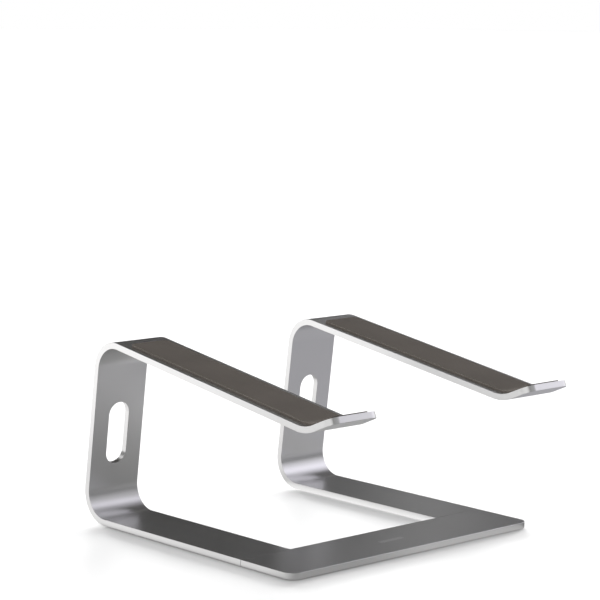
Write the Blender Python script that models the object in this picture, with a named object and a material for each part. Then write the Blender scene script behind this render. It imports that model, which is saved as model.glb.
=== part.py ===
"""Laptop stand: two bent aluminium arms joined by a front bar.

Metres. +X is the user's right, -Y faces the user, +Z is up. Everything is
laid out with y = 0 on the bar's front face, and the finished stand is then
centred on the origin, with its feet at z = 0.
"""
import math

import bmesh
import bpy
from mathutils import Matrix, Vector

# Overall layout
STAND_WIDTH = 0.260
STRIP_WIDTH = 0.050
STRIP_THICKNESS = 0.005
UNDERSIDE_HEIGHT = 0.0008
TOUCH_GAP = 0.0003

# Front bar
BAR_DEPTH = 0.057
BAR_CORNER_RADIUS = 0.009

# Arm side profile, from the foot's front end to the tip of the lip
HEEL_START_Y = 0.226
HEEL_INNER_RADIUS = 0.020
UPRIGHT_LEAN = math.radians(7.5)
UPRIGHT_LENGTH = 0.101
SHOULDER_INNER_RADIUS = 0.021
ARM_SLOPE = math.radians(9.0)
ARM_LENGTH = 0.214
LIP_INNER_RADIUS = 0.031
LIP_RISE = math.radians(23.3)
LIP_LENGTH = 0.0193
LIP_CORNER_RADIUS = 0.009
BEND_STEP = math.radians(5.0)
CORNER_STEPS = 6

# Cable slot in each upright
SLOT_WIDTH = 0.020
SLOT_LENGTH = 0.052
SLOT_CENTRE_UP_UPRIGHT = 0.044

# Joint between each foot and the bar: a thin tongue in a pocket, screwed from below
TONGUE_WIDTH = 0.034
TONGUE_LENGTH = 0.028
TONGUE_RECESS = 0.0002
TONGUE_THICKNESS = 0.0022
TONGUE_ROOT = 0.006
SCREW_SPACING = 0.018
SCREW_SETBACK = 0.014
SCREW_HEAD_RADIUS = 0.0029
SCREW_SHANK_RADIUS = 0.0015
SCREW_HEAD_RECESS = 0.0001
SCREW_TOP_SKIN = 0.0005
SOCKET_RADIUS = 0.0012
SOCKET_DEPTH = 0.0008
ROUND_SIDES = 32
HEX_SIDES = 6

# Silicone pad along each arm and lip
PAD_INSET = 0.0065
PAD_THICKNESS = 0.0012
PAD_REAR_SETBACK = 0.008
PAD_LIP_SETBACK = 0.005
PAD_CORNER_RADIUS = 0.004

# Rubber feet
FOOT_LENGTH = 0.034
FOOT_WIDTH = 0.011
FRONT_FOOT_Y = 0.013
REAR_FOOT_Y = 0.212

ARM_CENTRE_X = (STAND_WIDTH - STRIP_WIDTH) / 2
HALF_THICKNESS = STRIP_THICKNESS / 2
BASE_TOP = UNDERSIDE_HEIGHT + STRIP_THICKNESS
FOOT_START_Y = BAR_DEPTH + TOUCH_GAP
SIDES = {"left": -1, "right": 1}


def bend_length(inner_radius, turn):
    """Centreline length of a bend in the strip."""
    return (inner_radius + HALF_THICKNESS) * abs(turn)


HEEL_TURN = math.pi / 2 + UPRIGHT_LEAN
SHOULDER_TURN = math.pi / 2 - UPRIGHT_LEAN + ARM_SLOPE
LIP_TURN = -(ARM_SLOPE + LIP_RISE)

# Each run of the side profile is (centreline length, turn); a turn of 0 is straight
RUNS = {
    "foot": (HEEL_START_Y - FOOT_START_Y, 0.0),
    "heel": (bend_length(HEEL_INNER_RADIUS, HEEL_TURN), HEEL_TURN),
    "upright": (UPRIGHT_LENGTH, 0.0),
    "shoulder": (bend_length(SHOULDER_INNER_RADIUS, SHOULDER_TURN), SHOULDER_TURN),
    "arm": (ARM_LENGTH, 0.0),
    "lip_bend": (bend_length(LIP_INNER_RADIUS, LIP_TURN), LIP_TURN),
    "lip": (LIP_LENGTH, 0.0),
}
STRIP_LENGTH = sum(length for length, turn in RUNS.values())


def run_start(name):
    """Distance along the centreline where a named run starts."""
    names = list(RUNS)
    return sum(RUNS[earlier][0] for earlier in names[:names.index(name)])


def path_point(distance):
    """The centreline's (y, z) and heading at a distance from the foot's front end."""
    y = FOOT_START_Y
    z = UNDERSIDE_HEIGHT + HALF_THICKNESS
    heading = 0.0
    for length, turn in RUNS.values():
        step = min(distance, length)
        if turn:
            radius = length / turn
            next_heading = heading + turn * step / length
            y += radius * (math.sin(next_heading) - math.sin(heading))
            z += radius * (math.cos(heading) - math.cos(next_heading))
            heading = next_heading
        else:
            y += step * math.cos(heading)
            z += step * math.sin(heading)
        distance -= step
        if distance <= 0:
            break
    return y, z, heading


def path_frame(distance, centre_x):
    """Matrix at a point of the centreline: X across, Y along, Z towards the C's inside."""
    y, z, heading = path_point(distance)
    across = Vector((1, 0, 0))
    along = Vector((0, math.cos(heading), math.sin(heading)))
    inward = across.cross(along)
    frame = Matrix((across, along, inward)).transposed().to_4x4()
    frame.translation = Vector((centre_x, y, z))
    return frame


def stations_between(start, end):
    """Distances where a strip needs a row: both ends, the run joints, and steps in bends."""
    stations = [start]
    position = 0.0
    for length, turn in RUNS.values():
        steps = max(1, math.ceil(abs(turn) / BEND_STEP))
        for step in range(1, steps + 1):
            station = position + length * step / steps
            if start < station < end:
                stations.append(station)
        position += length
    stations.append(end)
    return stations


def rounded_end(radius):
    """(setback from the end, loss of half width) pairs that round a strip's two corners."""
    pairs = []
    for step in range(CORNER_STEPS + 1):
        angle = math.pi / 2 * step / CORNER_STEPS
        pairs.append((radius * (1 - math.cos(angle)), radius * (1 - math.sin(angle))))
    return pairs


def strip_rows(start, end, half_width, start_radius, end_radius):
    """(distance, half width) rows of a strip, with its end corners rounded."""
    head = [(start, half_width)]
    if start_radius:
        head = [(start + back, half_width - loss) for back, loss in rounded_end(start_radius)]
    tail = [(end, half_width)]
    if end_radius:
        tail = [(end - back, half_width - loss) for back, loss in rounded_end(end_radius)]
        tail.reverse()
    middle = stations_between(head[-1][0], tail[0][0])[1:-1]
    return head + [(station, half_width) for station in middle] + tail


def add_object(name, mesh_builder, material=None, frame=None):
    """Turn a bmesh into an object with outward normals."""
    bmesh.ops.recalc_face_normals(mesh_builder, faces=mesh_builder.faces)
    mesh = bpy.data.meshes.new(name)
    mesh_builder.to_mesh(mesh)
    mesh_builder.free()
    part = bpy.data.objects.new(name, mesh)
    bpy.context.scene.collection.objects.link(part)
    if frame:
        part.matrix_world = frame
    if material:
        mesh.materials.append(material)
    return part


def shade_round(part):
    """Smooth the gentle turns of a part and keep its real edges sharp."""
    part.data.shade_smooth()
    part.data.set_sharp_from_angle(angle=math.radians(30))


def bent_strip(name, centre_x, rows, low, high, material):
    """A strip that follows the arm's path, between two offsets from the centreline."""
    builder = bmesh.new()
    rings = []
    for distance, half_width in rows:
        frame = path_frame(distance, centre_x)
        corners = ((-half_width, low), (half_width, low), (half_width, high), (-half_width, high))
        ring = [builder.verts.new(frame @ Vector((x, 0, offset))) for x, offset in corners]
        rings.append(ring)
    for first, second in zip(rings, rings[1:]):
        for corner in range(4):
            following = (corner + 1) % 4
            builder.faces.new((first[corner], first[following], second[following], second[corner]))
    builder.faces.new(rings[0])
    builder.faces.new(rings[-1])
    return add_object(name, builder, material)


def prism(name, outline, low, high, material=None, frame=None):
    """A closed solid with the given XY outline, between two heights."""
    builder = bmesh.new()
    bottom = [builder.verts.new((x, y, low)) for x, y in outline]
    floor = builder.faces.new(bottom)
    lifted = bmesh.ops.extrude_face_region(builder, geom=[floor])
    top = [item for item in lifted["geom"] if isinstance(item, bmesh.types.BMVert)]
    bmesh.ops.translate(builder, verts=top, vec=(0, 0, high - low))
    return add_object(name, builder, material, frame)


def turned(name, profile, sides, material=None, frame=None):
    """A closed solid of revolution about Z from (radius, height) pairs, low to high."""
    builder = bmesh.new()
    rings = []
    for radius, height in profile:
        angles = [2 * math.pi * side / sides for side in range(sides)]
        rings.append([
            builder.verts.new((radius * math.cos(angle), radius * math.sin(angle), height))
            for angle in angles
        ])
    for first, second in zip(rings, rings[1:]):
        for side in range(sides):
            following = (side + 1) % sides
            builder.faces.new((first[side], first[following], second[following], second[side]))
    builder.faces.new(rings[0])
    builder.faces.new(rings[-1])
    return add_object(name, builder, material, frame)


def rectangle(x_low, x_high, y_low, y_high):
    """Outline of a rectangle."""
    return [(x_low, y_low), (x_high, y_low), (x_high, y_high), (x_low, y_high)]


def arc(centre_x, centre_y, radius, start_degrees, end_degrees, steps):
    """Points of an arc, both ends included."""
    points = []
    for step in range(steps + 1):
        angle = math.radians(start_degrees + (end_degrees - start_degrees) * step / steps)
        points.append((centre_x + radius * math.cos(angle), centre_y + radius * math.sin(angle)))
    return points


def stadium(length, width):
    """Outline of a slot with round ends, its length along X."""
    radius = width / 2
    reach = length / 2 - radius
    steps = ROUND_SIDES // 2
    return arc(reach, 0, radius, -90, 90, steps) + arc(-reach, 0, radius, 90, 270, steps)


def combine(part, tool, operation):
    """Apply a Boolean with a tool shape, then remove the tool."""
    tool.hide_render = True
    tool.display_type = "WIRE"
    modifier = part.modifiers.new(operation.lower(), "BOOLEAN")
    modifier.operation = operation
    modifier.solver = "EXACT"
    modifier.object = tool
    bpy.context.view_layer.update()
    evaluated = part.evaluated_get(bpy.context.evaluated_depsgraph_get())
    result = bpy.data.meshes.new_from_object(evaluated)
    part.modifiers.clear()
    part.data = result
    bpy.data.objects.remove(tool)


def make_material(name, colour, roughness, metallic):
    """A plain Principled material."""
    material = bpy.data.materials.new(name)
    material.use_nodes = True
    shader = material.node_tree.nodes["Principled BSDF"]
    shader.inputs["Base Color"].default_value = (*colour, 1.0)
    shader.inputs["Roughness"].default_value = roughness
    shader.inputs["Metallic"].default_value = metallic
    material.diffuse_color = (*colour, 1.0)
    return material


def tongue_heights():
    """Bottom and top of each foot's tongue."""
    low = UNDERSIDE_HEIGHT + TONGUE_RECESS
    return low, low + TONGUE_THICKNESS


def screw_places(side):
    """X and Y of the two screws in one tongue."""
    y = BAR_DEPTH - SCREW_SETBACK
    centre_x = SIDES[side] * ARM_CENTRE_X
    return [(centre_x - SCREW_SPACING / 2, y), (centre_x + SCREW_SPACING / 2, y)]


def screw_top():
    """Height of the tip of each screw, just short of its blind hole's end."""
    return BASE_TOP - SCREW_TOP_SKIN - TOUCH_GAP


def build_front_bar(material):
    """The crosspiece: a plate with two round front corners and a pocket for each tongue."""
    half = STAND_WIDTH / 2
    radius = BAR_CORNER_RADIUS
    outline = [(half, BAR_DEPTH), (-half, BAR_DEPTH)]
    outline += arc(radius - half, radius, radius, 180, 270, CORNER_STEPS * 2)
    outline += arc(half - radius, radius, radius, 270, 360, CORNER_STEPS * 2)
    bar = prism("front_bar", outline, UNDERSIDE_HEIGHT, BASE_TOP, material)
    reach = TONGUE_WIDTH / 2 + TOUCH_GAP
    pocket_front = BAR_DEPTH - TONGUE_LENGTH - TOUCH_GAP
    ceiling = tongue_heights()[1] + TOUCH_GAP
    for side, sign in SIDES.items():
        centre = sign * ARM_CENTRE_X
        pocket = rectangle(centre - reach, centre + reach, pocket_front, BAR_DEPTH * 2)
        combine(bar, prism("pocket", pocket, 0, ceiling), "DIFFERENCE")
        hole_radius = SCREW_SHANK_RADIUS + TOUCH_GAP
        profile = [(hole_radius, 0), (hole_radius, screw_top() + TOUCH_GAP)]
        for x, y in screw_places(side):
            place = Matrix.Translation((x, y, 0))
            combine(bar, turned("blind_hole", profile, ROUND_SIDES, frame=place), "DIFFERENCE")
    return bar


def countersink_profile():
    """Clearance hole with a countersink, cut through a tongue from below."""
    low, high = tongue_heights()
    slant_gap = TOUCH_GAP * math.sqrt(2)
    mouth = SCREW_HEAD_RADIUS + slant_gap
    throat = SCREW_SHANK_RADIUS + TOUCH_GAP
    seat = low + SCREW_HEAD_RECESS
    return [(mouth, 0), (mouth, seat), (throat, seat + mouth - throat), (throat, high * 2)]


def build_arm(side, material):
    """One C-shaped arm, bent from a flat strip, with its cable slot and its tongue."""
    centre = SIDES[side] * ARM_CENTRE_X
    rows = strip_rows(0, STRIP_LENGTH, STRIP_WIDTH / 2, 0, LIP_CORNER_RADIUS)
    arm = bent_strip(f"{side}_arm", centre, rows, -HALF_THICKNESS, HALF_THICKNESS, material)

    quarter_turn = Matrix.Rotation(math.pi / 2, 4, "Z")
    slot_frame = path_frame(run_start("upright") + SLOT_CENTRE_UP_UPRIGHT, centre) @ quarter_turn
    slot = prism("slot", stadium(SLOT_LENGTH, SLOT_WIDTH), -STRIP_THICKNESS, STRIP_THICKNESS,
                 frame=slot_frame)
    combine(arm, slot, "DIFFERENCE")

    low, high = tongue_heights()
    reach = TONGUE_WIDTH / 2
    outline = rectangle(centre - reach, centre + reach, BAR_DEPTH - TONGUE_LENGTH,
                        FOOT_START_Y + TONGUE_ROOT)
    combine(arm, prism("tongue", outline, low, high), "UNION")
    for x, y in screw_places(side):
        place = Matrix.Translation((x, y, 0))
        hole = turned("countersink", countersink_profile(), ROUND_SIDES, frame=place)
        combine(arm, hole, "DIFFERENCE")
    shade_round(arm)
    return arm


def build_pad(side, material):
    """The raised silicone strip on an arm, running on through the lip."""
    start = run_start("arm") + PAD_REAR_SETBACK
    end = STRIP_LENGTH - PAD_LIP_SETBACK
    rows = strip_rows(start, end, STRIP_WIDTH / 2 - PAD_INSET, PAD_CORNER_RADIUS,
                      PAD_CORNER_RADIUS)
    near_face = -(HALF_THICKNESS + TOUCH_GAP)
    centre = SIDES[side] * ARM_CENTRE_X
    pad = bent_strip(f"{side}_pad", centre, rows, near_face - PAD_THICKNESS, near_face, material)
    shade_round(pad)
    return pad


def build_screw(name, x, y, material):
    """A countersunk machine screw, head down, with a hexagon socket."""
    head_face = tongue_heights()[0] + SCREW_HEAD_RECESS
    head_height = SCREW_HEAD_RADIUS - SCREW_SHANK_RADIUS
    profile = [
        (SCREW_HEAD_RADIUS, head_face),
        (SCREW_SHANK_RADIUS, head_face + head_height),
        (SCREW_SHANK_RADIUS, screw_top()),
    ]
    place = Matrix.Translation((x, y, 0))
    screw = turned(name, profile, ROUND_SIDES, material, place)
    socket = [(SOCKET_RADIUS, 0), (SOCKET_RADIUS, head_face + SOCKET_DEPTH)]
    combine(screw, turned("socket", socket, HEX_SIDES, frame=place), "DIFFERENCE")
    shade_round(screw)
    return screw


def build_foot(name, x, y, material):
    """One oblong rubber foot, stuck under the base."""
    height = UNDERSIDE_HEIGHT - TOUCH_GAP
    place = Matrix.Translation((x, y, 0))
    foot = prism(name, stadium(FOOT_LENGTH, FOOT_WIDTH), 0, height, material, place)
    shade_round(foot)
    return foot


def centre_stand(parts):
    """Slide the stand so that its bounding box is centred on the origin in Y."""
    bpy.context.view_layer.update()
    depths = [(part.matrix_world @ vertex.co).y for part in parts for vertex in part.data.vertices]
    shift = -(min(depths) + max(depths)) / 2
    for part in parts:
        part.location.y += shift


def main():
    """Clear the scene and build every piece of the stand."""
    for stale in list(bpy.data.objects):
        bpy.data.objects.remove(stale)
    aluminium = make_material("aluminium", (0.72, 0.73, 0.75), 0.35, 1.0)
    silicone = make_material("silicone", (0.095, 0.085, 0.075), 0.75, 0.0)
    rubber = make_material("rubber", (0.03, 0.03, 0.03), 0.8, 0.0)
    steel = make_material("steel", (0.45, 0.45, 0.46), 0.3, 1.0)

    parts = [build_front_bar(aluminium)]
    for side, sign in SIDES.items():
        parts.append(build_arm(side, aluminium))
        parts.append(build_pad(side, silicone))
        for number, (x, y) in enumerate(screw_places(side), start=1):
            parts.append(build_screw(f"{side}_screw_{number}", x, y, steel))
        parts.append(build_foot(f"{side}_front_foot", sign * ARM_CENTRE_X, FRONT_FOOT_Y, rubber))
        parts.append(build_foot(f"{side}_rear_foot", sign * ARM_CENTRE_X, REAR_FOOT_Y, rubber))
    centre_stand(parts)


main()
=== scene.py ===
"""Looks of the laptop stand: bent aluminium arms, a front bar, silicone pads, rubber feet.

Metres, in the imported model's frame: +X is the user's right, -Y faces the user, +Z is up.
"""
import math

import bmesh
import bpy
from mathutils import Matrix, Vector


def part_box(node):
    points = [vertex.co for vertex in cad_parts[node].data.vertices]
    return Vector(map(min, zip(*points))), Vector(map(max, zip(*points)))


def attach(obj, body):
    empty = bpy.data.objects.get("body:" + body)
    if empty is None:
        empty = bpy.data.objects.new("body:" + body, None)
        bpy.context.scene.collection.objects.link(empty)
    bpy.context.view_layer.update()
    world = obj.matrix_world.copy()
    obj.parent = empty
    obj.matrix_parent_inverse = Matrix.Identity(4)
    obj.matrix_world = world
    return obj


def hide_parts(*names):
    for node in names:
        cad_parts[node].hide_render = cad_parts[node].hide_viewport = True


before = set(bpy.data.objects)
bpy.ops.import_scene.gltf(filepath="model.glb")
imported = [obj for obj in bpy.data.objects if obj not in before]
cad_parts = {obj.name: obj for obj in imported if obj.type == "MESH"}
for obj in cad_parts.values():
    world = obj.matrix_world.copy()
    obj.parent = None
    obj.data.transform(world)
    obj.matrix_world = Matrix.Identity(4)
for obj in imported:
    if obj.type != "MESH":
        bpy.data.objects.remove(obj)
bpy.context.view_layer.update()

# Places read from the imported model
BAR_LOW, BAR_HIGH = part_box("front_bar")
UNDERSIDE = BAR_LOW.z
BASE_TOP = BAR_HIGH.z
BAR_FRONT = BAR_LOW.y
BAR_BACK = BAR_HIGH.y
HALF_STAND = BAR_HIGH.x

# Strip and bar
STRIP_WIDTH = 0.050
THICKNESS = 0.005
HALF_THICKNESS = THICKNESS / 2
ARM_ROUNDING = 0.00045
BAR_ROUNDING = 0.00025
BAR_CORNER_RADIUS = 0.009
SEAM_GAP = 0.0003
SEAM_EDGE_SHARE = 0.08
SEAM_CORNER_SHARE = 0.6

# Arm side profile
HEEL_START = 0.226
HEEL_INNER_RADIUS = 0.020
UPRIGHT_LEAN = math.radians(7.5)
UPRIGHT_LENGTH = 0.101
SHOULDER_INNER_RADIUS = 0.021
ARM_SLOPE = math.radians(9.0)
ARM_LENGTH = 0.214
LIP_INNER_RADIUS = 0.031
LIP_RISE = math.radians(23.3)
LIP_LENGTH = 0.0193
LIP_CORNER_RADIUS = 0.009
BEND_STEP = math.radians(2.5)
CORNER_STEPS = 10

# Cable slot
SLOT_WIDTH = 0.020
SLOT_LENGTH = 0.052
SLOT_CENTRE_UP_UPRIGHT = 0.044

# Joint under the bar
CLEARANCE = 0.0003
TONGUE_WIDTH = 0.034
TONGUE_LENGTH = 0.028
TONGUE_RECESS = 0.0002
TONGUE_THICKNESS = 0.0022
TONGUE_ROOT = 0.006
SCREW_SPACING = 0.018
SCREW_SETBACK = 0.014
SCREW_HEAD_RADIUS = 0.0029
SCREW_SHANK_RADIUS = 0.0015
SCREW_HEAD_RECESS = 0.0001
SCREW_TOP_SKIN = 0.0005
ROUND_SIDES = 48

# Silicone pads
PAD_INSET = 0.0065
PAD_HEIGHT = 0.0015
PAD_REAR_SETBACK = 0.008
PAD_LIP_SETBACK = 0.005
PAD_CORNER_RADIUS = 0.004
PAD_LIP_CORNER_RADIUS = 0.002
PAD_ROUNDING = 0.0006

# Rubber feet
FOOT_ROUNDING = 0.0002
GLUE_FILM = 0.00002

# Etched mark on the bar's top: plain strokes along Y, in a row along X
MARK_SETBACK = 0.028
MARK_HALF_LENGTH = 0.0106
MARK_HALF_WIDTH = 0.0024
MARK_FADE_END = 0.0027
STROKE_HALF_PITCH = 0.0013
STROKE_GAP_HALF_WIDTH = 0.0003
STROKE_SOLID_FROM = 0.0006
MARK_GONE_AT_DEPTH = 0.0002
MARK_FULL_TO_DEPTH = 0.0001

# Mesh settings
SQUARE_EDGE_ANGLE = math.radians(50)
SMOOTHING_ANGLE = math.radians(40)
ROUNDING_SEGMENTS = 3
FLAT_MARGIN = 0.02
TOLERANCE = 1e-6
CUT_OVERSHOOT = 0.001
POCKET_OVERSHOOT = 0.02
COUNTERSINK_OVERSHOOT = 0.0004

SIDES = {"left": -1, "right": 1}
ARM_CENTRE_X = HALF_STAND - STRIP_WIDTH / 2


# ---------------------------------------------------------------- side profile

def bend_length(inner_radius, turn):
    """Centreline length of a bend in the strip."""
    return (inner_radius + HALF_THICKNESS) * abs(turn)


HEEL_TURN = math.pi / 2 + UPRIGHT_LEAN
SHOULDER_TURN = math.pi / 2 - UPRIGHT_LEAN + ARM_SLOPE
LIP_TURN = -(ARM_SLOPE + LIP_RISE)
FOOT_START_Y = BAR_BACK + SEAM_GAP

RUNS = {
    "foot": (BAR_FRONT + HEEL_START - FOOT_START_Y, 0.0),
    "heel": (bend_length(HEEL_INNER_RADIUS, HEEL_TURN), HEEL_TURN),
    "upright": (UPRIGHT_LENGTH, 0.0),
    "shoulder": (bend_length(SHOULDER_INNER_RADIUS, SHOULDER_TURN), SHOULDER_TURN),
    "arm": (ARM_LENGTH, 0.0),
    "lip_bend": (bend_length(LIP_INNER_RADIUS, LIP_TURN), LIP_TURN),
    "lip": (LIP_LENGTH, 0.0),
}
STRIP_LENGTH = sum(length for length, turn in RUNS.values())


def run_start(name):
    """Distance along the centreline where a named run starts."""
    names = list(RUNS)
    return sum(RUNS[earlier][0] for earlier in names[:names.index(name)])


def path_point(distance):
    """The centreline's (y, z) and heading at a distance from the foot's front end."""
    y = FOOT_START_Y
    z = UNDERSIDE + HALF_THICKNESS
    heading = 0.0
    for length, turn in RUNS.values():
        step = min(distance, length)
        if turn:
            radius = length / turn
            next_heading = heading + turn * step / length
            y += radius * (math.sin(next_heading) - math.sin(heading))
            z += radius * (math.cos(heading) - math.cos(next_heading))
            heading = next_heading
        else:
            y += step * math.cos(heading)
            z += step * math.sin(heading)
        distance -= step
        if distance <= 0:
            break
    return y, z, heading


def stations_between(start, end):
    """Distances where a strip needs a row: both ends, the run joints, and steps in bends."""
    stations = [start]
    position = 0.0
    for length, turn in RUNS.values():
        steps = max(1, math.ceil(abs(turn) / BEND_STEP))
        for step in range(1, steps + 1):
            station = position + length * step / steps
            if start < station < end:
                stations.append(station)
        position += length
    stations.append(end)
    return stations


def rounded_end(radius):
    """(setback from the end, loss of half width) pairs that round a strip's two corners."""
    pairs = []
    for step in range(CORNER_STEPS + 1):
        angle = math.pi / 2 * step / CORNER_STEPS
        pairs.append((radius * (1 - math.cos(angle)), radius * (1 - math.sin(angle))))
    return pairs


def strip_rows(start, end, half_width, start_radius, end_radius):
    """(distance, half width) rows of a strip, with its end corners rounded."""
    head = [(start, half_width)]
    if start_radius:
        head = [(start + back, half_width - loss) for back, loss in rounded_end(start_radius)]
    tail = [(end, half_width)]
    if end_radius:
        tail = [(end - back, half_width - loss) for back, loss in rounded_end(end_radius)]
        tail.reverse()
    middle = stations_between(head[-1][0], tail[0][0])[1:-1]
    return head + [(station, half_width) for station in middle] + tail


# ---------------------------------------------------------------- mesh helpers

def add_object(name, builder):
    """Turn a bmesh into a linked object with outward normals."""
    bmesh.ops.recalc_face_normals(builder, faces=builder.faces)
    mesh = bpy.data.meshes.new(name)
    builder.to_mesh(mesh)
    builder.free()
    piece = bpy.data.objects.new(name, mesh)
    bpy.context.scene.collection.objects.link(piece)
    return piece


def flat_strip(name, rows, low, high):
    """A straightened strip: X across, Y along the centreline, Z from low to high."""
    builder = bmesh.new()
    rings = []
    for distance, half_width in rows:
        corners = ((-half_width, low), (half_width, low), (half_width, high), (-half_width, high))
        rings.append([builder.verts.new((x, distance, z)) for x, z in corners])
    for first, second in zip(rings, rings[1:]):
        for corner in range(4):
            following = (corner + 1) % 4
            builder.faces.new((first[corner], first[following], second[following], second[corner]))
    builder.faces.new(rings[0])
    builder.faces.new(rings[-1])
    return add_object(name, builder)


def prism(name, outline, low, high):
    """A closed solid with the given XY outline, between two heights."""
    builder = bmesh.new()
    floor = builder.faces.new([builder.verts.new((x, y, low)) for x, y in outline])
    lifted = bmesh.ops.extrude_face_region(builder, geom=[floor])
    top = [item for item in lifted["geom"] if isinstance(item, bmesh.types.BMVert)]
    bmesh.ops.translate(builder, verts=top, vec=(0, 0, high - low))
    return add_object(name, builder)


def turned(name, profile, centre_x, centre_y):
    """A closed solid of revolution from (radius, height) pairs, low to high."""
    builder = bmesh.new()
    rings = []
    for radius, height in profile:
        ring = []
        for side in range(ROUND_SIDES):
            angle = 2 * math.pi * side / ROUND_SIDES
            x = centre_x + radius * math.cos(angle)
            y = centre_y + radius * math.sin(angle)
            ring.append(builder.verts.new((x, y, height)))
        rings.append(ring)
    for first, second in zip(rings, rings[1:]):
        for side in range(ROUND_SIDES):
            following = (side + 1) % ROUND_SIDES
            builder.faces.new((first[side], first[following], second[following], second[side]))
    builder.faces.new(rings[0])
    builder.faces.new(rings[-1])
    return add_object(name, builder)


def rectangle(x_low, x_high, y_low, y_high):
    """Outline of a rectangle."""
    return [(x_low, y_low), (x_high, y_low), (x_high, y_high), (x_low, y_high)]


def arc(centre_x, centre_y, radius, start_degrees, end_degrees, steps):
    """Points of an arc, both ends included."""
    points = []
    for step in range(steps + 1):
        angle = math.radians(start_degrees + (end_degrees - start_degrees) * step / steps)
        points.append((centre_x + radius * math.cos(angle), centre_y + radius * math.sin(angle)))
    return points


def stadium(centre_x, centre_y, length, width, along_y=False):
    """Outline of a slot with round ends."""
    radius = width / 2
    reach = length / 2 - radius
    steps = ROUND_SIDES // 2
    ends = arc(reach, 0, radius, -90, 90, steps) + arc(-reach, 0, radius, 90, 270, steps)
    if along_y:
        ends = [(-y, x) for x, y in ends]
    return [(centre_x + x, centre_y + y) for x, y in ends]


def bake_modifiers(piece):
    """Replace a piece's mesh with its modified mesh."""
    bpy.context.view_layer.update()
    evaluated = piece.evaluated_get(bpy.context.evaluated_depsgraph_get())
    result = bpy.data.meshes.new_from_object(evaluated)
    piece.modifiers.clear()
    piece.data = result


def combine(piece, tool, operation):
    """Apply a Boolean with a tool shape, then remove the tool."""
    modifier = piece.modifiers.new(operation.lower(), "BOOLEAN")
    modifier.operation = operation
    modifier.solver = "EXACT"
    modifier.object = tool
    bake_modifiers(piece)
    bpy.data.objects.remove(tool)


def round_edges(piece, width, share_of):
    """Bevel every square edge by width times share_of(edge), and mark the roundings.

    The point attribute "edge" is 1 in the middle of a rounding and 0 elsewhere.
    """
    mesh = piece.data
    builder = bmesh.new()
    builder.from_mesh(mesh)
    weights = builder.edges.layers.float.new("bevel_weight_edge")
    for edge in builder.edges:
        if len(edge.link_faces) == 2 and edge.calc_face_angle() > SQUARE_EDGE_ANGLE:
            edge[weights] = share_of(edge)
    builder.to_mesh(mesh)
    builder.free()
    bevel = piece.modifiers.new("rounding", "BEVEL")
    bevel.limit_method = "WEIGHT"
    bevel.width = width
    bevel.segments = ROUNDING_SEGMENTS
    bake_modifiers(piece)

    builder = bmesh.new()
    builder.from_mesh(piece.data)
    mark = builder.verts.layers.float.new("edge")
    for vertex in builder.verts:
        slants = [abs(face.normal.z) for face in vertex.link_faces]
        slanted = all(FLAT_MARGIN < slant < 1 - FLAT_MARGIN for slant in slants)
        vertex[mark] = 1.0 if slanted else 0.0
    builder.to_mesh(piece.data)
    builder.free()


def bend(piece, centre_x):
    """Wrap a straightened strip along the arm's side profile."""
    for vertex in piece.data.vertices:
        across, distance, offset = vertex.co
        y, z, heading = path_point(distance)
        y -= offset * math.sin(heading)
        z += offset * math.cos(heading)
        vertex.co = (centre_x + across, y, z)


def finish_piece(piece, material, slot_name, *nodes):
    """Smooth shading, material, and the piece's place in the frame."""
    piece.data.shade_smooth()
    piece.data.set_sharp_from_angle(angle=SMOOTHING_ANGLE)
    weighted = piece.modifiers.new("even_normals", "WEIGHTED_NORMAL")
    weighted.keep_sharp = True
    piece.data.materials.clear()
    piece.data.materials.append(material)
    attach(piece, "root")
    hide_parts(*nodes)


# ---------------------------------------------------------------- materials

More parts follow.
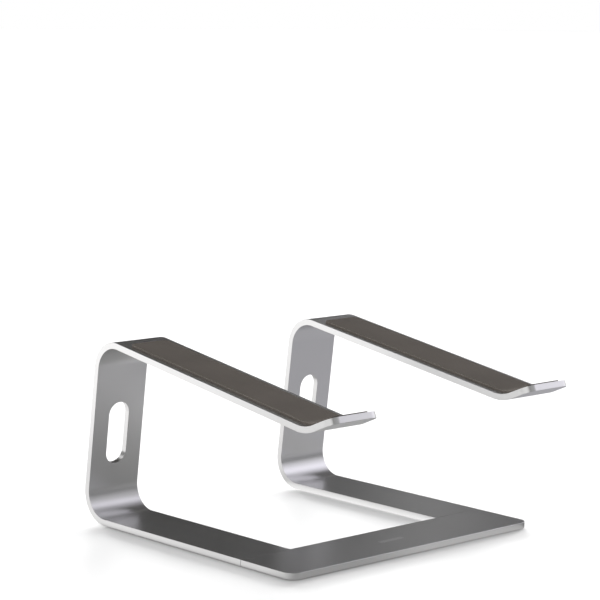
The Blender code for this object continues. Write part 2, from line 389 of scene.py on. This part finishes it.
class Nodes:
    """A short way to write shader node trees."""

    def __init__(self, tree):
        self.tree = tree
        tree.nodes.clear()

    def add(self, kind, **settings):
        """Add a node and set its properties."""
        node = self.tree.nodes.new(kind)
        for key, value in settings.items():
            setattr(node, key, value)
        return node

    def feed(self, socket, value):
        """Link an output, or set a plain value."""
        if isinstance(value, bpy.types.NodeSocket):
            self.tree.links.new(value, socket)
        else:
            socket.default_value = value

    def math(self, operation, first, second=0.0):
        """One Math node."""
        node = self.add("ShaderNodeMath", operation=operation)
        self.feed(node.inputs[0], first)
        self.feed(node.inputs[1], second)
        return node.outputs[0]

    def times(self, first, second):
        """Product of two values."""
        return self.math("MULTIPLY", first, second)

    def length(self, first, second):
        """Length of the vector (first, second)."""
        squares = self.math("ADD", self.times(first, first), self.times(second, second))
        return self.math("SQRT", squares)

    def ramp(self, value, low, high, out_low=0.0, out_high=1.0):
        """Map value from low..high to out_low..out_high smoothly, and clamp it."""
        node = self.add("ShaderNodeMapRange", interpolation_type="SMOOTHSTEP")
        self.feed(node.inputs["Value"], value)
        self.feed(node.inputs["From Min"], low)
        self.feed(node.inputs["From Max"], high)
        self.feed(node.inputs["To Min"], out_low)
        self.feed(node.inputs["To Max"], out_high)
        return node.outputs[0]

    def window(self, value, low, high, soft):
        """1 between low and high, falling to 0 over soft on either side."""
        rise = self.ramp(value, low - soft, low + soft)
        fall = self.ramp(value, high - soft, high + soft, 1.0, 0.0)
        return self.times(rise, fall)

    def axes(self, vector):
        """X, Y and Z of a vector."""
        node = self.add("ShaderNodeSeparateXYZ")
        self.feed(node.inputs[0], vector)
        return node.outputs["X"], node.outputs["Y"], node.outputs["Z"]

    def noise(self, vector, scale, detail, roughness=0.5):
        """Noise from 0 to 1."""
        node = self.add("ShaderNodeTexNoise")
        self.feed(node.inputs["Vector"], vector)
        self.feed(node.inputs["Scale"], scale)
        self.feed(node.inputs["Detail"], detail)
        self.feed(node.inputs["Roughness"], roughness)
        return node.outputs[0]

    def mix(self, factor, first, second):
        """Mix two colours."""
        node = self.add("ShaderNodeMix", data_type="RGBA")
        self.feed(node.inputs["Factor"], factor)
        self.feed(node.inputs["A"], first)
        self.feed(node.inputs["B"], second)
        return node.outputs["Result"]

    def blend(self, factor, first, second):
        """Mix two plain values."""
        node = self.add("ShaderNodeMix", data_type="FLOAT")
        self.feed(node.inputs["Factor"], factor)
        self.feed(node.inputs["A"], first)
        self.feed(node.inputs["B"], second)
        return node.outputs["Result"]

    def bump(self, height, distance, strength):
        """Bump from a height of 0 to 1."""
        node = self.add("ShaderNodeBump")
        self.feed(node.inputs["Strength"], strength)
        self.feed(node.inputs["Distance"], distance)
        self.feed(node.inputs["Height"], height)
        return node.outputs[0]

    def choose(self, factor, first, second):
        """Mix two shaders."""
        node = self.add("ShaderNodeMixShader")
        self.feed(node.inputs[0], factor)
        self.feed(node.inputs[1], first)
        self.feed(node.inputs[2], second)
        return node.outputs[0]


def new_material(name):
    """A material with an empty node tree, its shader and its coordinates."""
    material = bpy.data.materials.new(name)
    material.use_nodes = True
    nodes = Nodes(material.node_tree)
    output = nodes.add("ShaderNodeOutputMaterial")
    shader = nodes.add("ShaderNodeBsdfPrincipled")
    nodes.tree.links.new(shader.outputs[0], output.inputs["Surface"])
    place = nodes.add("ShaderNodeTexCoord").outputs["Object"]
    return material, nodes, shader, place


def grey(level, tint=(1.0, 1.0, 1.0)):
    """A colour from one level and a tint."""
    return (level * tint[0], level * tint[1], level * tint[2], 1.0)


def edge_mask(nodes):
    """The roundings marked by round_edges."""
    return nodes.add("ShaderNodeAttribute", attribute_name="edge").outputs["Fac"]


METAL_TINT = (1.0, 1.0, 1.004)
SILICONE_TINT = (1.0, 0.875, 0.76)
SILICONE_SKIN_TINT = (1.0, 0.88, 0.78)
# Tint of the painted highlight on the pad's roundings
SILICONE_HIGHLIGHT_TINT = (1.0, 0.94, 0.88)
DUST_TINT = (1.0, 0.98, 0.95)
ZINC_TINT = (1.0, 1.0, 1.03)
TARNISH_TINT = (1.0, 0.98, 0.94)


def etched_strokes(nodes, place, mark_y):
    """1 on a row of plain strokes on the bar's top, centred on x = 0 at y = mark_y, else 0."""
    x, y, z = nodes.axes(place)
    past_end = nodes.math("SUBTRACT", nodes.math("ABSOLUTE", x), MARK_HALF_LENGTH)
    past_end = nodes.math("MAXIMUM", past_end, 0.0)
    off_line = nodes.math("ABSOLUTE", nodes.math("SUBTRACT", y, mark_y))
    gap = nodes.length(past_end, off_line)
    row = nodes.ramp(gap, MARK_HALF_WIDTH, MARK_FADE_END, 1.0, 0.0)
    wave = nodes.math("PINGPONG", x, STROKE_HALF_PITCH)
    strokes = nodes.ramp(wave, STROKE_GAP_HALF_WIDTH, STROKE_SOLID_FROM)
    top = nodes.ramp(z, BASE_TOP - MARK_GONE_AT_DEPTH, BASE_TOP - MARK_FULL_TO_DEPTH)
    return nodes.times(nodes.times(row, strokes), top)


def aluminium(name, mark_y=None):
    """Bead-blasted, clear-anodised aluminium, with etched strokes where mark_y is given."""
    material, nodes, shader, place = new_material(name)
    cloud = nodes.noise(place, 14.0, 3.0)
    grain = nodes.noise(place, 3200.0, 2.0, 0.6)
    speck = nodes.noise(place, 1100.0, 3.0, 0.6)
    patches = nodes.noise(place, 160.0, 3.0)

    dull, bright = grey(0.685, METAL_TINT), grey(0.715, METAL_TINT)
    colour = nodes.mix(nodes.ramp(cloud, 0.3, 0.7), dull, bright)
    colour = nodes.mix(nodes.ramp(grain, 0.35, 0.65, 0.0, 0.4), colour, grey(0.66, METAL_TINT))
    roughness = nodes.ramp(speck, 0.3, 0.7, 0.305, 0.340)

    worn = nodes.times(edge_mask(nodes), nodes.ramp(patches, 0.35, 0.7))
    colour = nodes.mix(nodes.times(worn, 0.35), colour, grey(0.80))
    roughness = nodes.math("SUBTRACT", roughness, nodes.times(worn, 0.01))

    if mark_y is not None:
        etched = etched_strokes(nodes, place, mark_y)
        colour = nodes.mix(etched, colour, grey(0.92))
        roughness = nodes.math("ADD", roughness, nodes.times(etched, 0.20))

    relief = nodes.math("ADD", nodes.times(grain, 0.5), speck)
    nodes.feed(shader.inputs["Base Color"], colour)
    nodes.feed(shader.inputs["Metallic"], 1.0)
    nodes.feed(shader.inputs["Roughness"], roughness)
    nodes.feed(shader.inputs["Normal"], nodes.bump(relief, 0.0000016, 0.6))
    return material


def silicone():
    """Matt warm grey silicone with a fine skin, and a painted highlight on its roundings."""
    material, nodes, shader, place = new_material("silicone_pad")
    cloud = nodes.noise(place, 30.0, 4.0)
    skin = nodes.noise(place, 1500.0, 3.0, 0.6)
    dark, light = grey(0.088, SILICONE_TINT), grey(0.099, SILICONE_TINT)
    colour = nodes.mix(nodes.ramp(cloud, 0.3, 0.7), dark, light)
    bloom = nodes.ramp(skin, 0.45, 0.75, 0.0, 0.4)
    colour = nodes.mix(bloom, colour, grey(0.115, SILICONE_SKIN_TINT))
    # Painted highlight: the roundings are near white, standing in for light caught on the pad's
    # edges
    colour = nodes.mix(edge_mask(nodes), colour, grey(0.90, SILICONE_HIGHLIGHT_TINT))
    nodes.feed(shader.inputs["Base Color"], colour)
    nodes.feed(shader.inputs["Roughness"], nodes.ramp(skin, 0.3, 0.7, 0.62, 0.76))
    nodes.feed(shader.inputs["Specular IOR Level"], 0.35)
    nodes.feed(shader.inputs["Normal"], nodes.bump(skin, 0.00002, 0.7))
    return material


def rubber():
    """Dull black rubber with a little dust."""
    material, nodes, shader, place = new_material("rubber_foot")
    skin = nodes.noise(place, 1200.0, 3.0, 0.6)
    dust = nodes.noise(place, 120.0, 4.0)
    colour = nodes.mix(nodes.ramp(dust, 0.4, 0.75), grey(0.022), grey(0.045, DUST_TINT))
    nodes.feed(shader.inputs["Base Color"], colour)
    nodes.feed(shader.inputs["Roughness"], nodes.ramp(skin, 0.3, 0.7, 0.72, 0.88))
    nodes.feed(shader.inputs["Normal"], nodes.bump(skin, 0.00003, 0.8))
    return material


def zinc_steel():
    """Zinc-plated screw steel with fine scratches and tarnish."""
    material, nodes, shader, place = new_material("zinc_screw")
    tarnish = nodes.noise(place, 700.0, 4.0)
    scratch = nodes.noise(place, 4000.0, 2.0)
    clean, dulled = grey(0.50, ZINC_TINT), grey(0.40, TARNISH_TINT)
    colour = nodes.mix(nodes.ramp(tarnish, 0.35, 0.7), clean, dulled)
    nodes.feed(shader.inputs["Base Color"], colour)
    nodes.feed(shader.inputs["Metallic"], 1.0)
    nodes.feed(shader.inputs["Roughness"], nodes.ramp(scratch, 0.3, 0.7, 0.24, 0.40))
    nodes.feed(shader.inputs["Normal"], nodes.bump(scratch, 0.000005, 0.6))
    return material


# ---------------------------------------------------------------- pieces

def tongue_offsets():
    """Bottom and top of each foot's tongue, from the strip's centreline."""
    low = TONGUE_RECESS - HALF_THICKNESS
    return low, low + TONGUE_THICKNESS


def screw_offsets_x():
    """Places of the two screws of one joint, across the arm."""
    return (-SCREW_SPACING / 2, SCREW_SPACING / 2)


def build_arm(side, material):
    """One C-shaped arm: cut flat, edges rounded, then bent."""
    rows = strip_rows(0, STRIP_LENGTH, STRIP_WIDTH / 2, 0, LIP_CORNER_RADIUS)
    arm = flat_strip(f"{side}_arm_bent_strip", rows, -HALF_THICKNESS, HALF_THICKNESS)
    slot_centre = run_start("upright") + SLOT_CENTRE_UP_UPRIGHT
    slot = prism("slot", stadium(0, slot_centre, SLOT_LENGTH, SLOT_WIDTH, along_y=True),
                 -THICKNESS, THICKNESS)
    combine(arm, slot, "DIFFERENCE")

    def share_of(edge):
        ends = [vertex.co for vertex in edge.verts]
        if max(end.y for end in ends) > TOLERANCE:
            return 1.0
        upright = abs(ends[0].z - ends[1].z) > TOLERANCE
        return SEAM_CORNER_SHARE if upright else SEAM_EDGE_SHARE

    round_edges(arm, ARM_ROUNDING, share_of)

    low, high = tongue_offsets()
    reach = TONGUE_WIDTH / 2
    front = BAR_BACK - TONGUE_LENGTH - FOOT_START_Y
    combine(arm, prism("tongue", rectangle(-reach, reach, front, TONGUE_ROOT), low, high), "UNION")
    mouth = SCREW_HEAD_RADIUS + CLEARANCE * math.sqrt(2)
    throat = SCREW_SHANK_RADIUS + CLEARANCE
    seat = low + SCREW_HEAD_RECESS
    profile = [(mouth, low - CUT_OVERSHOOT), (mouth, seat), (throat, seat + mouth - throat),
               (throat, high + COUNTERSINK_OVERSHOOT)]
    for x in screw_offsets_x():
        hole = turned("countersink", profile, x, BAR_BACK - SCREW_SETBACK - FOOT_START_Y)
        combine(arm, hole, "DIFFERENCE")
    bend(arm, SIDES[side] * ARM_CENTRE_X)
    finish_piece(arm, material, "aluminium", f"{side}_arm")


def build_bar(material):
    """The crosspiece, with rounded front corners and a pocket for each tongue."""
    inner_x = HALF_STAND - STRIP_WIDTH
    radius = BAR_CORNER_RADIUS
    outline = [(HALF_STAND, BAR_BACK), (inner_x, BAR_BACK), (-inner_x, BAR_BACK),
               (-HALF_STAND, BAR_BACK)]
    steps = CORNER_STEPS * 2
    outline += arc(radius - HALF_STAND, BAR_FRONT + radius, radius, 180, 270, steps)
    outline += arc(HALF_STAND - radius, BAR_FRONT + radius, radius, 270, 360, steps)
    bar = prism("front_crossbar", outline, UNDERSIDE, BASE_TOP)

    def share_of(edge):
        ends = [vertex.co for vertex in edge.verts]
        if abs(ends[0].z - ends[1].z) > TOLERANCE:
            return SEAM_CORNER_SHARE
        at_back = all(end.y > BAR_BACK - TOLERANCE for end in ends)
        beside_arm = all(abs(end.x) > inner_x - TOLERANCE for end in ends)
        same_side = ends[0].x * ends[1].x > 0
        return SEAM_EDGE_SHARE if at_back and beside_arm and same_side else 1.0

    round_edges(bar, BAR_ROUNDING, share_of)

    reach = TONGUE_WIDTH / 2 + CLEARANCE
    pocket_front = BAR_BACK - TONGUE_LENGTH - CLEARANCE
    ceiling = UNDERSIDE + TONGUE_RECESS + TONGUE_THICKNESS + CLEARANCE
    for sign in SIDES.values():
        centre = sign * ARM_CENTRE_X
        pocket = rectangle(centre - reach, centre + reach, pocket_front,
                           BAR_BACK + POCKET_OVERSHOOT)
        combine(bar, prism("pocket", pocket, -CUT_OVERSHOOT, ceiling), "DIFFERENCE")
        hole_radius = SCREW_SHANK_RADIUS + CLEARANCE
        profile = [(hole_radius, -CUT_OVERSHOOT), (hole_radius, BASE_TOP - SCREW_TOP_SKIN)]
        for x in screw_offsets_x():
            hole = turned("blind_hole", profile, centre + x, BAR_BACK - SCREW_SETBACK)
            combine(bar, hole, "DIFFERENCE")
    finish_piece(bar, material, "aluminium", "front_bar")


def build_pad(side, material):
    """The raised silicone strip on an arm, running on through the lip."""
    start = run_start("arm") + PAD_REAR_SETBACK
    end = STRIP_LENGTH - PAD_LIP_SETBACK
    half_width = STRIP_WIDTH / 2 - PAD_INSET
    rows = strip_rows(start, end, half_width, PAD_CORNER_RADIUS, PAD_LIP_CORNER_RADIUS)
    near_face = -(HALF_THICKNESS + GLUE_FILM)
    far_face = -(HALF_THICKNESS + PAD_HEIGHT)
    pad = flat_strip(f"{side}_silicone_pad", rows, far_face, near_face)

    def share_of(edge):
        middle = (edge.verts[0].co.z + edge.verts[1].co.z) / 2
        return 1.0 if middle < far_face + TOLERANCE else 0.0

    round_edges(pad, PAD_ROUNDING, share_of)
    bend(pad, SIDES[side] * ARM_CENTRE_X)
    finish_piece(pad, material, "silicone", f"{side}_pad")


def build_foot(node, material):
    """One oblong rubber foot, stuck under the base."""
    low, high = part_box(node)
    centre = (low + high) / 2
    size = high - low
    foot = prism(f"{node}_rubber", stadium(centre.x, centre.y, size.x, size.y), low.z,
                 UNDERSIDE - GLUE_FILM)

    def share_of(edge):
        middle = (edge.verts[0].co.z + edge.verts[1].co.z) / 2
        return 1.0 if middle < low.z + TOLERANCE else 0.0

    round_edges(foot, FOOT_ROUNDING, share_of)
    finish_piece(foot, material, "rubber", node)


plain_metal = aluminium("satin_aluminium")
marked_metal = aluminium("satin_aluminium_bar", mark_y=BAR_FRONT + MARK_SETBACK)
pad_material = silicone()
rubber_material = rubber()
screw_material = zinc_steel()

build_bar(marked_metal)
for side_name in SIDES:
    build_arm(side_name, plain_metal)
    build_pad(side_name, pad_material)
    for end_name in ("front", "rear"):
        build_foot(f"{side_name}_{end_name}_foot", rubber_material)
    for number in (1, 2):
        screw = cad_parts[f"{side_name}_screw_{number}"]
        screw.data.materials.clear()
        screw.data.materials.append(screw_material)


# ---------------------------------------------------------------- studio

PAPER_TINT = (1.0, 0.995, 0.985)
COOL_GLOW_TINT = (1.0, 0.99, 1.04)
CEILING_TINT = (1.0, 0.955, 0.895)
HIGH_PANEL_TINT = (1.0, 0.98, 1.07)
LOW_PANEL_TINT = (1.0, 0.98, 1.06)

FLOOR_HEIGHT = -0.00003
FLOOR_HALF_WIDTH = 30.0
PAPER_WHITE = 0.92
MATT_FILL = 0.50

# Painted light and shade: the glow that gloss sees on the floor, by zone, standing in for the
# metal's reflections
FAR_FLOOR_GLOW = 0.19
INSIDE_RIGHT_ARM = 1.36
RIGHT_OF_BAR = 0.20
BEHIND_STAND = 1.08


def floor_glow_level(nodes, x, y):
    """Painted glow that gloss sees on the floor at a place, with light and shade set zone by zone.
    Each zone covers those before it.
    """
    level = nodes.math("ADD", nodes.ramp(x, -0.090, 0.080, 0.25, 0.40),
                       nodes.ramp(x, 0.090, 0.150, 0.0, 0.10))
    level = nodes.blend(nodes.ramp(nodes.length(x, y), 0.35, 0.80), level, FAR_FLOOR_GLOW)

    ahead_of_bar = nodes.window(y, -0.200, -0.106, 0.004)
    level = nodes.blend(ahead_of_bar, level, nodes.ramp(x, -0.060, 0.030, 0.42, 0.63))

    close_by = nodes.math("ADD", nodes.ramp(y, -0.125, -0.060, 0.42, 0.98),
                          nodes.ramp(y, -0.060, 0.150, 0.0, 0.15))
    far_left = nodes.ramp(y, 0.15, 0.65, 0.76, 1.55)
    left_side = nodes.blend(nodes.ramp(x, -0.300, -0.200), far_left, close_by)
    level = nodes.blend(nodes.ramp(x, -0.136, -0.130, 1.0, 0.0), level, left_side)

    inside_arm = nodes.times(nodes.window(x, 0.062, 0.085, 0.004),
                             nodes.window(y, -0.090, 0.150, 0.010))
    level = nodes.blend(inside_arm, level, INSIDE_RIGHT_ARM)
    beside_bar = nodes.times(nodes.window(x, 0.133, 0.200, 0.003),
                             nodes.window(y, -0.200, -0.040, 0.01))
    level = nodes.blend(beside_bar, level, RIGHT_OF_BAR)
    behind = nodes.times(nodes.window(x, -0.133, 0.088, 0.004), nodes.ramp(y, 0.140, 0.190))
    return nodes.blend(behind, level, BEHIND_STAND)


def build_floor():
    """A wide pale floor. Gloss sees a glow instead, painted zone by zone, which stands in for the
    studio's unevenly lit paper sweep.
    """
    half = FLOOR_HALF_WIDTH
    builder = bmesh.new()
    corners = rectangle(-half, half, -half, half)
    builder.faces.new([builder.verts.new((x, y, FLOOR_HEIGHT)) for x, y in corners])
    floor = add_object("studio_floor", builder)
    material = bpy.data.materials.new("paper_with_painted_glow")
    material.use_nodes = True
    nodes = Nodes(material.node_tree)
    output = nodes.add("ShaderNodeOutputMaterial")
    paper = nodes.add("ShaderNodeBsdfDiffuse")
    nodes.feed(paper.inputs["Color"], grey(PAPER_WHITE))
    # Painted light: for gloss the floor is a glow, brighter or darker by place, not lit paper
    glow = nodes.add("ShaderNodeEmission")
    x, y = nodes.axes(nodes.add("ShaderNodeTexCoord").outputs["Object"])[:2]
    nodes.feed(glow.inputs["Strength"], floor_glow_level(nodes, x, y))
    # Painted reflection tint: the glow turns cooler to the right of the stand
    cool = nodes.ramp(x, 0.150, 0.200)
    warm_glow, cool_glow = grey(1.0, PAPER_TINT), grey(1.0, COOL_GLOW_TINT)
    nodes.feed(glow.inputs["Color"], nodes.mix(cool, warm_glow, cool_glow))
    in_gloss = nodes.add("ShaderNodeLightPath").outputs["Is Glossy Ray"]
    nodes.feed(output.inputs["Surface"],
               nodes.choose(in_gloss, paper.outputs[0], glow.outputs[0]))
    material.cycles.emission_sampling = "NONE"
    floor.data.materials.append(material)


def studio_light(nodes, azimuth, elevation):
    """Light that gloss sees from a direction in degrees. Each panel covers those before it."""

    def panel(below, azimuths, elevations, light):
        """One soft-edged panel over what is below, its ranges as (low, high, softness)."""
        mask = nodes.times(nodes.window(azimuth, *azimuths), nodes.window(elevation, *elevations))
        return nodes.mix(mask, below, light)

    colour = nodes.mix(nodes.ramp(elevation, 2, 40), grey(0.038), grey(0.10))
    colour = nodes.mix(nodes.ramp(elevation, 16, 26), colour, grey(0.078, CEILING_TINT))
    colour = panel(colour, (45.3, 46.7, 0.4), (0, 34, 8), grey(0.74))
    colour = panel(colour, (105, 160, 12), (-30, 12, 8), grey(0.20))

    above_horizon = nodes.ramp(elevation, 5, 15)
    front_right = nodes.window(azimuth, 150, 400, 12)
    front_left = nodes.ramp(azimuth, -168, -156, 1.0, 0.0)
    for front in (front_right, front_left):
        colour = nodes.mix(nodes.times(front, above_horizon), colour, grey(0.45))

    colour = panel(colour, (120, 158, 8), (12, 40, 6), grey(0.50))
    colour = panel(colour, (74, 116, 6), (-6, 14, 5), grey(1.2))
    colour = panel(colour, (84, 131, 8), (14, 48, 5), grey(1.70, HIGH_PANEL_TINT))
    colour = panel(colour, (54, 131, 3), (14, 27, 4), grey(1.5, LOW_PANEL_TINT))

    left = nodes.mix(nodes.window(azimuth, -62, -46, 5), grey(1.03, PAPER_TINT),
                     grey(0.70, PAPER_TINT))
    left = nodes.mix(nodes.ramp(azimuth, -46, -36), left, grey(1.45, PAPER_TINT))
    left = panel(left, (-62, -24, 6), (5, 32, 4), grey(0.12, PAPER_TINT))
    return panel(colour, (-146, -22, 9), (-20, 62, 10), left)


def background(nodes, colour):
    """A background shader of one colour."""
    node = nodes.add("ShaderNodeBackground")
    nodes.feed(node.inputs["Color"], colour)
    return node.outputs[0]


def build_world():
    """White backdrop, even fill for matt surfaces, soft panels for gloss."""
    world = bpy.data.worlds.new("studio")
    bpy.context.scene.world = world
    world.use_nodes = True
    nodes = Nodes(world.node_tree)
    output = nodes.add("ShaderNodeOutputWorld")
    x, y, z = nodes.axes(nodes.add("ShaderNodeTexCoord").outputs["Generated"])
    azimuth = nodes.math("DEGREES", nodes.math("ARCTAN2", x, y))
    elevation = nodes.math("DEGREES", nodes.math("ARCSINE", z))
    rays = nodes.add("ShaderNodeLightPath")
    gloss = background(nodes, studio_light(nodes, azimuth, elevation))
    unseen = nodes.choose(rays.outputs["Is Glossy Ray"], background(nodes, grey(MATT_FILL)), gloss)
    shown = nodes.choose(rays.outputs["Is Camera Ray"], unseen, background(nodes, grey(1.0)))
    nodes.feed(output.inputs["Surface"], shown)
    world.cycles.sampling_method = "NONE"


def direction(azimuth, elevation):
    """Unit vector of a compass azimuth (0 is +Y, a quarter turn is +X) and an elevation."""
    level = math.cos(elevation)
    return Vector((math.sin(azimuth) * level, math.cos(azimuth) * level, math.sin(elevation)))


def add_sun(name, azimuth, elevation, size, strength):
    """A soft sun from a compass azimuth in degrees, seen only by matt surfaces."""
    light = bpy.data.lights.new(name, "SUN")
    light.angle = math.radians(size)
    light.energy = strength
    lamp = bpy.data.objects.new(name, light)
    bpy.context.scene.collection.objects.link(lamp)
    towards = direction(math.radians(azimuth), math.radians(elevation))
    lamp.rotation_mode = "QUATERNION"
    lamp.rotation_quaternion = towards.to_track_quat("Z", "Y")
    lamp.visible_glossy = False


CAMERA_YAW = math.radians(42.447)
CAMERA_PITCH = math.radians(-7.637)
CAMERA_ROLL = math.radians(0.542)
CAMERA_LENS = 130.577
CAMERA_SENSOR_WIDTH = 36.0
CAMERA_FAR_LIMIT = 100.0
CAMERA_PLACE = Vector((-1.17363, BAR_FRONT - 1.14726, 0.41650))


def build_camera():
    """The camera at the photograph's viewing angle."""
    data = bpy.data.cameras.new("camera")
    data.sensor_width = CAMERA_SENSOR_WIDTH
    data.lens = CAMERA_LENS
    data.clip_end = CAMERA_FAR_LIMIT
    camera = bpy.data.objects.new("camera", data)
    bpy.context.scene.collection.objects.link(camera)
    forward = direction(CAMERA_YAW, CAMERA_PITCH)
    level = Vector((math.cos(CAMERA_YAW), -math.sin(CAMERA_YAW), 0.0))
    upward = level.cross(forward)
    across = level * math.cos(CAMERA_ROLL) + upward * math.sin(CAMERA_ROLL)
    above = upward * math.cos(CAMERA_ROLL) - level * math.sin(CAMERA_ROLL)
    place = Matrix((across, above, -forward)).transposed().to_4x4()
    place.translation = CAMERA_PLACE
    camera.matrix_world = place
    bpy.context.scene.camera = camera


# Suns: name, azimuth, elevation and apparent size in degrees, strength
SUNS = (
    ("low_back_light_1", 16, 7.5, 17, 5.3),
    ("low_back_light_2", 42, 9.0, 17, 4.3),
    ("low_back_light_3", 68, 11.5, 17, 3.45),
    ("high_back_light", 45, 38, 40, 0.75),
    ("left_light", -95, 8, 12, 1.7),
)

build_floor()
build_world()
for sun in SUNS:
    add_sun(*sun)
build_camera()
bpy.context.scene.view_settings.view_transform = "Standard"
